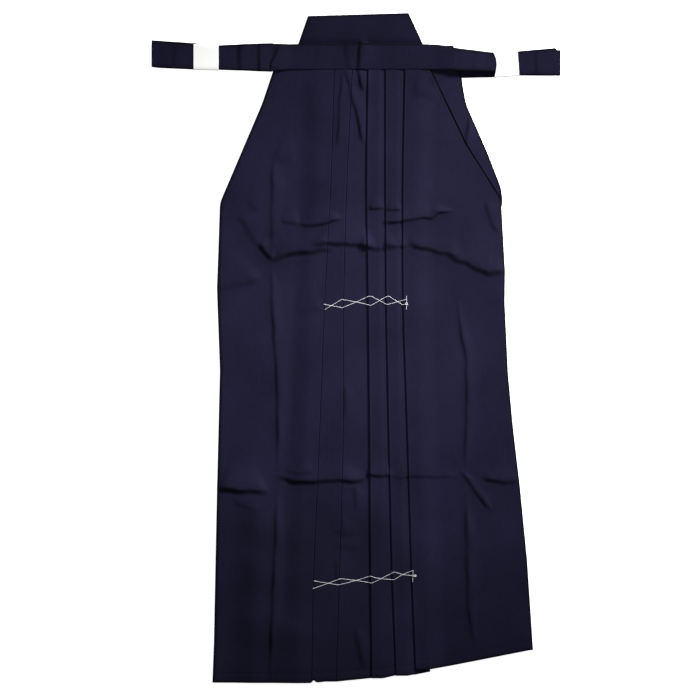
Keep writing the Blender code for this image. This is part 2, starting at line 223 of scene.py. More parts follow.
# ---- band and board
BAND_THICK = 3.0
BAND_Z = 4.1  # height of its underside in the middle
BAND_END_Z = 8.5  # and at its ends, where it lies on the straps
BAND_EDGE_SHADE = 2.0  # width of the painted shade along the band's upper edge
BAND_TOP = 473.8
BAND = (  # x, top, bottom, underside
    (-131.6, BAND_TOP, 429.7, BAND_END_Z), (-122.0, 473.2, 431.4, BAND_END_Z - 1.0),
    (-104.0, 473.1, 433.3, BAND_Z + 0.3), (-60.0, 473.1, 433.3, BAND_Z),
    (0.0, 473.1, 433.3, BAND_Z), (60.0, 473.1, 433.3, BAND_Z),
    (105.0, 473.1, 433.3, BAND_Z), (124.0, 472.2, 433.3, BAND_Z + 0.5),
    (142.0, 470.2, 433.3, BAND_END_Z - 1.0), (151.8, 470.0, 432.9, BAND_END_Z),
)
BAND_CREASES = creases(
    (2.6, 3.9, ((9, 484), (7.5, 462), (7, 445), (6, 426))),
    (1.2, 5.0, ((-14, 484), (-12, 462), (-8, 428))),
    (2.5, 4.0, ((-112, 480), (-118, 467), (-124, 455), (-132, 440), (-137, 430))),
    (0.5, 6.0, ((-54, 476), (-58, 450), (-60, 430))),
    (0.4, 7.0, ((64, 476), (60, 450), (58, 430))),
)
BOARD_THICK = 4.0
BOARD_RIM = 1.6  # height at its very edge
BOARD_ROUND = 2.2  # width of its rounded edge
BOARD_CROWN = 0.7
BOARD_TROUGH = 1.9  # depth of the hollow along the band's upper edge
BOARD_SPAN = (160.0, 86.0)  # about how wide and deep it is
BOARD = ((-103.8, 434.6), (-74.9, 517.5), (81.9, 522.0), (122.6, 434.6))

# ---- straps
STRAP_SHARE = 0.86  # thickness of a strap, as a share of the pitch of its layers
Tie = namedtuple("Tie", "z layers pitch rows")  # rows of x, top and bottom
TIES = {
    "front_tie_left": Tie(4.2, 7, 1.0, (
        (-129.6, 473.9, 429.8), (-140.0, 473.6, 430.2), (-213.7, 470.7, 432.5),
        (-252.7, 473.9, 433.3), (-306.0, 477.6, 435.6), (-318.2, 478.5, 437.0))),
    "front_tie_right": Tie(4.2, 7, 1.0, (
        (149.8, 467.6, 433.0), (158.0, 466.2, 431.0), (209.0, 459.8, 430.0),
        (217.0, 459.6, 428.6), (252.7, 461.4, 424.2), (310.6, 466.3, 423.6),
        (311.4, 463.0, 423.5), (318.2, 463.0, 423.2))),
    "back_tie_left": Tie(0.9, 4, 0.75, (
        (-105.0, 470.5, 437.0), (-134.0, 470.5, 434.6), (-213.7, 468.2, 434.5),
        (-252.7, 470.8, 435.5), (-312.0, 475.0, 438.6))),
    "back_tie_right": Tie(0.9, 4, 0.75, (
        (123.2, 466.0, 437.0), (162.6, 464.0, 436.2), (164.2, 463.4, 420.4),
        (213.7, 457.0, 421.6), (252.7, 459.0, 426.0), (313.0, 463.6, 426.0))),
}
TIE_CREASES = creases(
    (2.6, 6.0, ((-176, 500), (-178, 400))),
    (2.0, 3.4, ((-148, 500), (-150, 400))),
    (0.9, 5.0, ((-278, 500), (-281, 400))),
    (0.5, 5.0, ((188, 500), (186, 400))),
    (0.9, 4.0, ((284, 500), (282, 400))),
)


# ---- helpers
def smooth(t):
    t = np.clip(t, 0.0, 1.0)
    return t * t * (3 - 2 * t)


def through(points, y, rounding):
    """A table of (y, x) rows, from the waist down, as straight runs with rounded corners."""
    ys, xs = zip(*reversed(points))
    offsets = np.linspace(-rounding, rounding, 9)
    low, high = ys[0], ys[-1]
    reach = np.minimum(1.0, np.minimum(y - low, high - y) / rounding).clip(0.0)
    return np.mean([np.interp(y + reach * offset, ys, xs) for offset in offsets], axis=0)


def on_line(line, v, top=None):
    """Points of a line at v, from 0 at the waist to 1 at the hem."""
    top = TUCKED if top is None else top
    y = top + v * (line.hem - top)
    return through(line.points, y, line.rounding), y


def beside(points, x, y):
    """Where x, y lies beside a polyline: how far along it, how far to its right, its length."""
    points = np.array(points, float)
    steps = np.linalg.norm(np.diff(points, axis=0), axis=1)
    starts = np.concatenate([[0.0], np.cumsum(steps)])
    nearest = np.full(x.shape, 1e9)
    way = np.zeros_like(x)
    side = np.ones_like(x)
    for a, b, start, step in zip(points[:-1], points[1:], starts, steps):
        ahead = b - a
        t = np.clip(((x - a[0]) * ahead[0] + (y - a[1]) * ahead[1]) / step**2, 0.0, 1.0)
        off_x = x - a[0] - t * ahead[0]
        off_y = y - a[1] - t * ahead[1]
        away = np.hypot(off_x, off_y)
        closer = away < nearest
        nearest = np.where(closer, away, nearest)
        way = np.where(closer, start + t * step, way)
        side = np.where(closer, np.sign(ahead[1] * off_x - ahead[0] * off_y), side)
    return way, nearest * side, starts[-1]


def crease_relief(creases, x, y):
    """How far a table of creases lifts the cloth at each x, y, and the painted shade in their
    drops.

    Seen along its points, a crease rises gently on its left and drops steeply on its right, with a
    faint lip beyond the drop.
    """
    lift = np.zeros_like(x)
    shade = np.zeros_like(x)
    for number, crease in enumerate(creases):
        way, away, total = beside(crease.points, x, y)
        from_end = np.minimum(way, total - way)
        ends = smooth(from_end / (END_FADE * total) + 0.06)
        taper = 0.25 + 0.75 * smooth(from_end / (END_TAPER * total))
        uneven = 1.0 + 0.18 * np.sin(way / 13.0 + 2.1 * number)
        wander = 0.16 * np.sin(way / 9.1 + 1.7 * number) + 0.10 * np.sin(way / 4.7 + number)
        across = away / crease.width + wander * min(1.0, WANDERING / crease.width)
        rise = np.exp(-((across / (GENTLE * taper)) ** 2))
        drop = np.exp(-(across**2))
        lip = LIP * np.exp(-(((across - 2.4) / 0.9) ** 2))
        lift += crease.height * ends * uneven * (np.where(across < 0, rise, drop) + lip)
        hollow = np.exp(-(((across - 0.7) / 0.75) ** 2))
        sharp = min(1.0, crease.height / crease.width)
        shade = np.maximum(shade, sharp * np.sqrt(ends) * uneven * hollow)
    return lift, np.minimum(shade, 1.0)


def soft_waves(x, y):
    """The slack of cloth that lies loosely: a few long, shallow waves of uneven length."""
    return (
        0.22 * np.sin(x / 31.0 + 0.6 * np.sin(y / 83.0))
        + 0.20 * np.sin(y / 47.0 + 0.9 * np.sin(x / 57.0) + 1.3)
        + 0.14 * np.sin((x + 0.7 * y) / 23.0 + 2.2 + 0.8 * np.sin(y / 39.0))
        + 0.10 * np.sin((x - 1.4 * y) / 17.0 + 0.8 * np.sin(x / 29.0))
    )


def make_mesh(name, points, faces, material, attributes=None, sharp=35):
    """An object from points in millimetres, with its faces outwards and smooth shading."""
    mesh = bpy.data.meshes.new(name)
    mesh.from_pydata(np.asarray(points, float) * MM, [], faces)
    for key, values in (attributes or {}).items():
        layer = mesh.attributes.new(key, "FLOAT", "POINT")
        layer.data.foreach_set("value", np.asarray(values, np.float32))
    work = bmesh.new()
    work.from_mesh(mesh)
    bmesh.ops.recalc_face_normals(work, faces=work.faces)
    work.to_mesh(mesh)
    work.free()
    mesh.materials.append(material)
    mesh.shade_smooth()
    mesh.set_sharp_from_angle(angle=math.radians(sharp))
    obj = bpy.data.objects.new(name, mesh)
    bpy.context.scene.collection.objects.link(obj)
    return obj


def wall(name, grid, thickness, material, attributes=None, flat_below=None):
    """A closed wall whose middle surface is grid[row, column] = (x, y, z)."""
    rows, columns = grid.shape[:2]
    across = np.gradient(grid, axis=1)
    down = np.gradient(grid, axis=0)
    normal = np.cross(down, across)
    normal /= np.linalg.norm(normal, axis=2)[:, :, None] + 1e-9
    upper = grid + normal * thickness / 2
    lower = grid - normal * thickness / 2
    if flat_below is not None:
        lower[:, :, 2] = flat_below
    points = np.concatenate([upper.reshape(-1, 3), lower.reshape(-1, 3)])
    count = rows * columns
    index = np.arange(count).reshape(rows, columns)
    a, b, c, d = index[:-1, :-1], index[:-1, 1:], index[1:, 1:], index[1:, :-1]
    quads = np.stack([a, b, c, d], axis=-1).reshape(-1, 4)
    faces = np.concatenate([quads, quads[:, ::-1] + count])
    rims = [index[0], index[:, -1], index[-1][::-1], index[::-1, 0]]
    rim = np.concatenate([line[:-1] for line in rims])
    after = np.roll(rim, -1)
    edge = np.stack([rim, rim + count, after + count, after], axis=-1)
    faces = np.concatenate([faces, edge])
    doubled = {k: np.tile(np.ravel(val), 2) for k, val in (attributes or {}).items()}
    return make_mesh(name, points, faces.tolist(), material, doubled)


# ---- materials
LOW_GLOSS = 0.05


def fill(made, values):
    """Set a node's own inputs, by name or number."""
    for key, value in values.items():
        made.inputs[key].default_value = value


def node(tree, kind, values=None, **settings):
    made = tree.nodes.new("ShaderNode" + kind)
    for key, value in settings.items():
        setattr(made, key, value)
    fill(made, values or {})
    return made


def new_material(name):
    """(material, node tree, the tree's shader, the object's own coordinates)"""
    material = bpy.data.materials.new(name)
    material.use_nodes = True
    tree = material.node_tree
    place = node(tree, "TexCoord").outputs["Object"]
    return material, tree, tree.nodes["Principled BSDF"], place


def noise(tree, where, scale, detail):
    made = node(tree, "TexNoise", {"Scale": scale, "Detail": detail})
    tree.links.new(where, made.inputs["Vector"])
    return made.outputs["Fac"]


def times(tree, value, factor, plus=None):
    """value * factor + plus, where plus is another socket or nothing."""
    kind = "MULTIPLY" if plus is None else "MULTIPLY_ADD"
    made = node(tree, "Math", {1: factor}, operation=kind)
    tree.links.new(value, made.inputs[0])
    if plus is not None:
        tree.links.new(plus, made.inputs[2])
    return made.outputs[0]


def ramp(tree, value, dark, light, start=0.0, end=1.0):
    """A colour from dark to light as value goes from start to end."""
    made = node(tree, "ValToRGB")
    for element, position, colour in zip(made.color_ramp.elements, (start, end), (dark, light)):
        element.position = position
        element.color = (*colour, 1.0)
    tree.links.new(value, made.inputs["Fac"])
    return made.outputs["Color"]


def tint(tree, base, colour, share):
    """base, with a colour mixed in by share."""
    made = node(tree, "Mix", {7: (*colour, 1.0)}, data_type="RGBA")
    tree.links.new(share, made.inputs[0])
    tree.links.new(base, made.inputs[6])
    return made.outputs[2]


def relief(tree, shader, height, strength, distance):
    made = node(tree, "Bump", {"Strength": strength, "Distance": distance})
    tree.links.new(height, made.inputs["Height"])
    tree.links.new(made.outputs["Normal"], shader.inputs["Normal"])


def scaled(colour, factor):
    return [c * factor for c in colour]


def cloth_material(name, colour, roughness=0.82, weave_depth=0.35):
    """Navy twill: a diagonal weave, slubs, slow changes of tone, a painted sheen and painted shade.

    The mesh says where: one attribute lightens the colour as a painted sheen along fold edges, and
    "seam" darkens it as painted shade on creases, folds and edges and towards the lower left.
    """
    material, tree, shader, place = new_material(name)
    link = tree.links.new
    fill(shader, {"Specular IOR Level": LOW_GLOSS, "Sheen Weight": 0.006,
                  "Sheen Roughness": 0.45, "Sheen Tint": (0.55, 0.55, 0.75, 1.0)})

    tone = noise(tree, place, 9.0, 4.0)
    stretch = node(tree, "Mapping", {"Scale": (1.0, 0.22, 1.0)})
    link(place, stretch.inputs["Vector"])
    fibre = noise(tree, stretch.outputs["Vector"], 420.0, 3.0)
    mottled = times(tree, fibre, 0.35, times(tree, tone, 0.65))
    cloth = ramp(tree, mottled, scaled(colour, 0.72), scaled(colour, 1.30), 0.32, 0.70)

    # painted sheen: lightens the navy along the edges of folds
    painted_sheen = node(tree, "Attribute", attribute_name="painted_sheen").outputs["Fac"]
    shiny = tint(tree, cloth, scaled(colour, 1.25), times(tree, painted_sheen, 0.55))
    # painted shade: the "seam" attribute darkens the navy on creases, folds, edges and the lower
    # left
    seam = node(tree, "Attribute", attribute_name="seam").outputs["Fac"]
    link(tint(tree, shiny, scaled(colour, 0.12), seam), shader.inputs["Base Color"])

    rough = node(tree, "MapRange",
                 {"To Min": roughness + 0.06, "To Max": roughness - 0.10})
    link(tone, rough.inputs["Value"])
    link(rough.outputs["Result"], shader.inputs["Roughness"])

    twill = node(tree, "TexWave", {"Scale": 190.0, "Distortion": 0.6},
                 wave_type="BANDS", bands_direction="DIAGONAL")
    link(place, twill.inputs["Vector"])
    relief(tree, shader, times(tree, fibre, 0.6, twill.outputs["Fac"]), weave_depth, 0.00012)
    return material


def plain_material(name, colour, roughness, grain=400.0, depth=0.2, gloss=0.5):
    """One colour with a fine grain: paper, threads, stitches and the floor."""
    material, tree, shader, place = new_material(name)
    fill(shader, {"Roughness": roughness, "Specular IOR Level": gloss})
    grains = noise(tree, place, grain, 3.0)
    painted = ramp(tree, grains, scaled(colour, 0.96), colour)
    tree.links.new(painted, shader.inputs["Base Color"])
    relief(tree, shader, grains, depth, 0.0001)
    return material


NAVY = (0.0071, 0.0064, 0.0190)
CLOTH_MATERIAL = cloth_material("navy_cloth", NAVY)
# a darker copy of the navy cloth: painted shade on the band, the board and the right strap
SHADED_CLOTH_MATERIAL = cloth_material("navy_cloth_painted_shade", scaled(NAVY, 0.86), 0.85)
PAPER_MATERIAL = plain_material("white_paper", (0.86, 0.86, 0.85), 0.75)
THREAD_MATERIAL = plain_material("white_thread", (0.66, 0.67, 0.71), 0.8, 2500.0, 0.5)
STITCH_MATERIAL = plain_material("navy_stitch", scaled(NAVY, 0.9), 0.9, 2500.0, 0.5, LOW_GLOSS)


# ---- the front
Front = namedtuple("Front", "name edge pleats facing runs_to nestled")
# facing is the side that the folds look to, 1 for the right. runs_to is the line that the last
# layer runs on beneath. nestled is for pleats whose next layer comes up against the fold.
FRONTS = (
    Front("front_left", LEFT_EDGE, (LEFT_OUTER, LEFT_INNER), 1, RIGHT_INNER, True),
    Front("front_right", RIGHT_EDGE, (RIGHT_OUTER, RIGHT_MIDDLE, RIGHT_INNER), -1, None, False),
)
# Where rows lie closer together, as (y, how much closer, how far that reaches)
CLOSE_ROWS = ((150, 2.4, 30), (207, 2.2, 14), (-208, 3.0, 24), (WAIST, 1.0, 20),
              (-HALF_LENGTH + HEM_DEPTH, 2.0, 12))


class Path:
    """Columns of cloth across one panel, each an (x, y, z) for every row."""

    def __init__(self, x, y, z):
        self.columns = [np.stack([x, y, z], axis=1)]
        # each column's painted sheen and painted shade
        self.painted_sheen = [0.0]
        self.shade = [0.0]

    def line(self, x, y, z, count, ease=False, painted_sheen=0.0, shade=0.0):
        """Go straight to x, y, z, or by an S-curve in z with ease; the painted shade is darkest
        half way.
        """
        start = self.columns[-1]
        end = np.stack([x, y, z + 0 * x], axis=1)
        for t in np.linspace(0, 1, count + 1)[1:]:
            column = start + (end - start) * t
            if ease:
                column[:, 2] = start[:, 2] + (end[:, 2] - start[:, 2]) * smooth(t)
            self.columns.append(column)
            self.painted_sheen.append(painted_sheen)
            self.shade.append(shade * 4 * t * (1 - t))

    def turn(self, x, y, z_from, z_to, facing, count=6, shade=0.0):
        """Go round a fold whose outermost point is at x."""
        radius = abs(z_from - z_to) / 2
        centre = x - facing * (radius + CLOTH / 2)
        sign = 1.0 if z_from > z_to else -1.0
        for k in range(count + 1):
            angle = math.pi * k / count
            px = centre + facing * radius * math.sin(angle)
            pz = (z_from + z_to) / 2 + sign * radius * math.cos(angle)
            self.columns.append(np.stack([px, y, pz + 0 * x], axis=1))
            # painted sheen round the turn from the upper layer
            self.painted_sheen.append(1.0 - k / count if sign > 0 else 0.0)
            self.shade.append(shade)


def front_rows(count):
    """Rows from waist to hem, from 0 to 1, closer together where folds cross the legs."""
    y = np.linspace(TUCKED, -HALF_LENGTH, 4001)
    weight = 1.0 + sum(strength * np.exp(-(((y - middle) / reach) ** 2))
                       for middle, strength, reach in CLOSE_ROWS)
    total = np.cumsum(weight)
    total = (total - total[0]) / (total[-1] - total[0])
    picked = np.interp(np.linspace(0, 1, count), total, y)
    return (TUCKED - picked) / (TUCKED + HALF_LENGTH)


def front_side(front, v, nominal, raised):
    """The path from the side seam to the top of the slope over the outer underfold."""
    rise = np.clip(1.0 - (TUCKED - nominal) / WAIST_RISE, 0.0, 1.0) ** 2
    side = SIDE_MIDDLE + (SIDE_AT_WAIST - SIDE_MIDDLE) * rise
    edge_x, edge_y = on_line(front.edge, v)
    outer_x, outer_y = on_line(front.pleats[0], v)
    outer_y = outer_y + raised
    top = outer_x - front.facing * (UNDERFOLD + LEVEL)
    furthest = front.facing * edge_x + EDGE_MARGIN
    foot = front.facing * np.maximum(front.facing * top - RAMP, furthest)
    path = Path(edge_x, edge_y, side - SEAM_DIP)
    path.line(edge_x + front.facing * SEAM_DIP_WIDTH, edge_y, side, 4, ease=True)
    path.line(foot, edge_y + (outer_y - edge_y) * RAMP_SLANT, side, 42)
    path.line(top, outer_y, PLEAT_HIGH, 12, ease=True)
    return path


def over_fold(path, front, x, y):
    """Up to the fold at x and round it."""
    path.line(x - front.facing * LEVEL, y, PLEAT_HIGH, 6)
    # painted sheen along the ridge of the fold
    path.line(x - front.facing * PRESSED, y, PLEAT_HIGH + PRESSED_RIDGE, 2, painted_sheen=0.6)
    # painted shade on the turn, for the left front's folds
    path.turn(x, y, PLEAT_HIGH, PLEAT_LOW + LAYER, front.facing, shade=FOLD_SHADE * front.nestled)


def under_fold(path, front, x, y, spread):
    """In beneath the fold at x, round, and out again on its far side."""
    deep = x - front.facing * (UNDERFOLD + UNDERFOLD_WIDER * spread)
    deep_y = y + UNDERFOLD_SLANT * spread
    path.line(deep + front.facing * 2, deep_y, PLEAT_LOW + LAYER, 3)
    path.turn(deep, deep_y, PLEAT_LOW + LAYER, PLEAT_LOW, -front.facing, 4)
    if front.nestled:
        path.line(x + front.facing * 0.3, y, PLEAT_LOW, 4)
        path.line(x + front.facing * 1.0, y, PLEAT_HIGH - 0.1, 5, ease=True)
    else:
        path.line(x + front.facing * 1.0, y, PLEAT_LOW, 4)
        path.line(x + front.facing * LEVEL, y, PLEAT_LOW + FOLD_LIFT, 2)


def front_path(front, v, nominal):
    """Across a front panel, from its side seam over its pleats to the last layer."""
    widening = 0.0 if front.nestled else v**6
    path = front_side(front, v, nominal, UNDERFOLD_PEEK * widening)
    for number, pleat in enumerate(front.pleats):
        x, y = on_line(pleat, v)
        if number:
            # painted shade where the right front climbs over an underfold
            path.line(x - front.facing * (UNDERFOLD + LEVEL), y, PLEAT_HIGH, 9, ease=True,
                      shade=0.0 if front.nestled else CLIMB_SHADE)
        spread = widening * (number == 0)
        over_fold(path, front, x, y + UNDERFOLD_PEEK * spread)
        if pleat is front.pleats[-1] and front.runs_to is None:
            path.line(x - front.facing * UNDERFOLD, y, PLEAT_LOW + LAYER, 4)
        else:
            under_fold(path, front, x, y, spread)
    if front.runs_to is not None:
        x, y = on_line(front.runs_to, v)
        path.line(x - 2, y, PLEAT_LOW, 14)
        path.line(x + UNDERFOLD, y, PLEAT_LOW, 4)
    return path


def front_panel(front, rows=322):
    """A front panel: folded path, nick, creases, slack, the hem's dent, and painted sheen and
    shade.
    """
    v = front_rows(rows)
    nominal = TUCKED - v * (TUCKED + HALF_LENGTH)
    path = front_path(front, v, nominal)
    grid = np.stack(path.columns, axis=1)
    x, y, z = (grid[:, :, k] for k in range(3))  # views, so that the lines below move the grid
    near_hem = smooth(1 - (nominal + HALF_LENGTH) / 40.0)[:, None]
    y += NICK_DEPTH * np.exp(-(((x - NICK_X) / NICK_WIDTH) ** 2)) * near_hem
    loose = 0.45 + 0.55 * smooth((WAIST - nominal) / 12.0)[:, None]
    lift, drops = crease_relief(FRONT_CREASES, x, y)
    z += np.maximum((lift + soft_waves(x, y)) * loose, DEEPEST_HOLLOW)
    above_hem = np.abs(y - y[-1:])
    z -= HEM_GROOVE * np.exp(-(((above_hem - HEM_DEPTH) / 1.5) ** 2))
    from_edge = np.minimum(np.abs(x - x[:, :1]), above_hem)
    # painted shade along side edge and hem, on creases and folds, and at the lower left; painted
    # sheen
    edges = np.exp(-((from_edge / EDGE_SHADE_WIDTH) ** 2))
    folds = np.tile(path.shade, (rows, 1))
    lower_left = (smooth((DIM_FROM[1] - y) / DIM_REACH[1])
                  * smooth((DIM_FROM[0] - x) / DIM_REACH[0]))
    seam = np.maximum.reduce([edges, CREASE_SHADE * drops, folds]) + DIM_SHADE * lower_left
    shades = {"painted_sheen": np.tile(path.painted_sheen, (rows, 1)), "seam": np.minimum(seam, 1.0)}
    return wall(f"cloth_{front.name}", grid, CLOTH, CLOTH_MATERIAL, shades)


# ---- backs and inner legs
def straight_panel(name, left, right, middle, top, rows=120, columns=40):
    """A panel that lies flat between two lines; the lowest ones are filled down to the floor."""
    v = np.linspace(0, 1, rows)
    lx, ly = on_line(left, v, top)
    rx, ry = on_line(right, v, top)
    t = np.linspace(0, 1, columns)
    x = lx[:, None] + (rx - lx)[:, None] * t
    y = ly[:, None] + (ry - ly)[:, None] * t
    grid = np.stack([x, y, np.full_like(x, middle)], axis=2)
    flat = 0.0 if middle == BACK_MIDDLE else None
    return wall(name, grid, CLOTH, CLOTH_MATERIAL, flat_below=flat)


def shifted(line, amount):
    return line._replace(points=tuple((y, x + amount) for y, x in line.points))


def back_right_panel(rows=260):
    """The back right panel: flat under the front, and level with it beyond the edge of the slit."""
    v = np.linspace(0, 1, rows)
    seam_x, seam_y = on_line(shifted(BACK_SEAM, SEAM_GAP), v, BACK_TOP)
    edge_x, edge_y = on_line(BACK_RIGHT_EDGE, v, BACK_TOP)
    front_x = through(RIGHT_EDGE.points, edge_y, RIGHT_EDGE.rounding)
    foot = np.minimum(front_x + SLIT_GAP, edge_x - SLIT_LEAST)
    up = SLIT_RISE * smooth((edge_x - front_x - 1.5) / 6.0)
    flat = np.linspace(0, 1, 26)
    places = [seam_x + (foot - seam_x) * t for t in flat]
    heights = [0 * v for t in flat]
    for t in (0.35, 0.75, 1.0):
        places.append(foot + SLIT_STEP * t)
        heights.append(up * smooth(t))
    for t in np.linspace(0, 1, 22)[1:]:
        places.append(foot + SLIT_STEP + (edge_x - foot - SLIT_STEP) * t)
        heights.append(up - 0.5 * t**6)
    x = np.stack(places, axis=1)
    share = (x - seam_x[:, None]) / (edge_x - seam_x)[:, None]
    y = seam_y[:, None] + (edge_y - seam_y)[:, None] * share
    z = BACK_MIDDLE + np.stack(heights, axis=1)
    lift, shade = crease_relief(BACK_CREASES, x, y)
    z += lift * (z > BACK_MIDDLE + 0.5)
    grid = np.stack([x, y, z], axis=2)
    # painted shade along the panel's outer edge and in the drop of its crease
    inward = edge_x[:, None] - x
    seam = np.maximum(np.exp(-((inward / EDGE_SHADE_WIDTH) ** 2)), CREASE_SHADE * shade)
    return wall("cloth_back_right", grid, CLOTH, CLOTH_MATERIAL, {"seam": seam}, flat_below=0.0)


def inner_leg(side, word):
    """A wedge from the seam between the legs outwards, to the left for side -1."""
    top, seam_x = CROTCH
    length = top - INNER_LEG.hem
    seam = INNER_LEG._replace(points=(
        (top, seam_x + side * SEAM_GAP),
        (INNER_LEG.hem, seam_x + INNER_SEAM_DRIFT + side * SEAM_GAP)))
    outer = INNER_LEG._replace(points=tuple(
        (y, seam_x + (top - y) / length * INNER_SEAM_DRIFT + side * out)
        for y, out in INNER_LEG.points))
    first, last = (outer, seam) if side < 0 else (seam, outer)
    return straight_panel(f"cloth_inner_leg_{word}", first, last, INNER_LEG_MIDDLE, top, 60, 16)


def back_left_panel():
    seam = shifted(BACK_SEAM, -SEAM_GAP)
    return straight_panel("cloth_back_left", BACK_LEFT_EDGE, seam, BACK_MIDDLE, BACK_TOP)


# ---- band and board
def strap_section(half_width, half_thick, steps=4, flats=14):
    """Points round a flat strap with round edges, as (across, up) from its middle."""
    ring = []
    for side in (1, -1):
        for t in np.linspace(-1, 1, flats + 1):
            ring.append((side * t * (half_width - half_thick), side * half_thick))
        for k in range(1, steps):
            angle = math.pi * k / steps
            ring.append((side * (half_width - half_thick + half_thick * math.sin(angle)),
                         side * half_thick * math.cos(angle)))
    return np.array(ring)


def ring_faces(rings, count):
    """Faces round a stack of rings of count points each, closed at both ends."""
    last = (rings - 1) * count
    faces = [tuple(range(count)), tuple(range(last, last + count))]
    for a in range(0, last, count):
        faces += [(a + i, a + (i + 1) % count, a + count + (i + 1) % count, a + count + i)
                  for i in range(count)]
    return faces


def ring_loft(name, rings, shades, material):
    """A solid through closed rings; shades is the painted shade of each ring's points, from 0 to 1.
    """
    faces = ring_faces(len(rings), len(rings[0]))
    seam = {"seam": np.concatenate(shades)}
    return make_mesh(name, np.concatenate(rings), faces, material, seam, 50)


def make_band():
    """The band over the top of the fronts: flat below, with creases on top."""
    xs, tops, bottoms, lows = zip(*BAND)
    underside = [(-x, low) for x, low in zip(xs, lows)]
    rings = []
    shades = []
    for x in np.linspace(xs[0], xs[-1], 150):
        top = np.interp(x, xs, tops)
        bottom = np.interp(x, xs, bottoms)
        low = through(underside, -x, 7.0)
        ring = strap_section((top - bottom) / 2, BAND_THICK / 2, 6, 22)
        y = (top + bottom) / 2 + ring[:, 0]
        z = low + BAND_THICK / 2 + ring[:, 1]
        lift, shade = crease_relief(BAND_CREASES, np.full_like(y, x), y)
        lift = lift + 0.5 * soft_waves(x, y)
        z = z + np.where(ring[:, 1] > 0, lift * np.abs(ring[:, 1]) / (BAND_THICK / 2), 0.0)
        rings.append(np.stack([np.full_like(y, x), y, z], axis=1))
        # painted shade along the band's upper edge and on its creases
        at_top = np.exp(-(((top - y) / BAND_EDGE_SHADE) ** 2))
        shades.append(np.maximum(at_top, CREASE_SHADE * shade))
    return ring_loft("cloth_front_band", rings, shades, SHADED_CLOTH_MATERIAL)


def make_board(steps=72):
    """The stiff board in its cloth cover: crowned a little, with rounded edges."""
    corners = np.array(BOARD)
    u = np.linspace(0, 1, steps * 2)
    w = np.linspace(0, 1, steps)
    bottom = corners[0] + (corners[3] - corners[0]) * u[:, None]
    top = corners[1] + (corners[2] - corners[1]) * u[:, None]
    xy = bottom[None] + (top - bottom)[None] * w[:, None, None]
    from_side = np.minimum(u, 1 - u)[None, :] * BOARD_SPAN[0]
    from_end = np.minimum(w, 1 - w)[:, None] * BOARD_SPAN[1]
    from_edge = np.minimum(from_side, from_end)
    shoulder = np.sqrt(np.clip(1 - (1 - np.clip(from_edge / BOARD_ROUND, 0, 1)) ** 2, 0, 1))
    x, y = xy[..., 0], xy[..., 1]
    z = BOARD_RIM + (BOARD_THICK - BOARD_RIM) * shoulder + 0.12 * soft_waves(x, y)
    above_band = y - BAND_TOP
    z += BOARD_CROWN * smooth(above_band / 16) * shoulder
    z -= BOARD_TROUGH * np.exp(-(((above_band + 0.5) / 5.0) ** 2))
    z += crease_relief(BAND_CREASES[:1], x, y)[0] * (above_band > 0)
    grid = np.concatenate([xy, z[..., None]], axis=2)
    lower = grid.copy()
    lower[..., 2] = 0.0
    # painted shade along the board's edges
    seam = np.exp(-((from_edge / EDGE_SHADE_WIDTH) ** 2))
    # Shaded as a thin sheet first, so that the rounded edge stays smooth, and then filled out.
    board = wall("cloth_back_board", (grid + lower) / 2, 0.01, SHADED_CLOTH_MATERIAL, {"seam": seam})
    points = np.concatenate([grid.reshape(-1, 3), lower.reshape(-1, 3)]) * MM
    board.data.vertices.foreach_set("co", points.ravel())
    board.data.update()
    return board


# ---- the straps
def tie_path(tie, number):
    """(x, z, layer) down the length of a strap that is folded back and forth, top layer first."""
    first, end = tie.rows[0][0], tie.rows[-1][0]
    outward = math.copysign(1.0, end - first)
    radius = tie.pitch / 2
    reach = radius + tie.pitch * STRAP_SHARE / 2
    top = tie.z + (tie.layers - 0.5) * tie.pitch
    shifts = [1.7 * math.sin(2.3 * k + number) ** 2 + 0.3 for k in range(tie.layers + 1)]
    path = []
    for layer in range(tie.layers):
        z = top - layer * tie.pitch
        near = first + outward * (reach + shifts[layer] * (layer > 0))
        far = end - outward * (reach + shifts[layer // 2 * 2] * (layer > 1))
        start, stop = (near, far) if layer % 2 == 0 else (far, near)
        if layer == 0:
            start = first
        for t in np.linspace(0, 1, 48 if layer else 120):
            path.append((start + (stop - start) * t, z, layer))
        if layer < tie.layers - 1:
            turning = outward if layer % 2 == 0 else -outward
            for k in range(1, 6):
                angle = math.pi * k / 6
                path.append((stop + turning * radius * math.sin(angle),
                             z - radius + radius * math.cos(angle), layer + k / 6))
    return np.array(path)


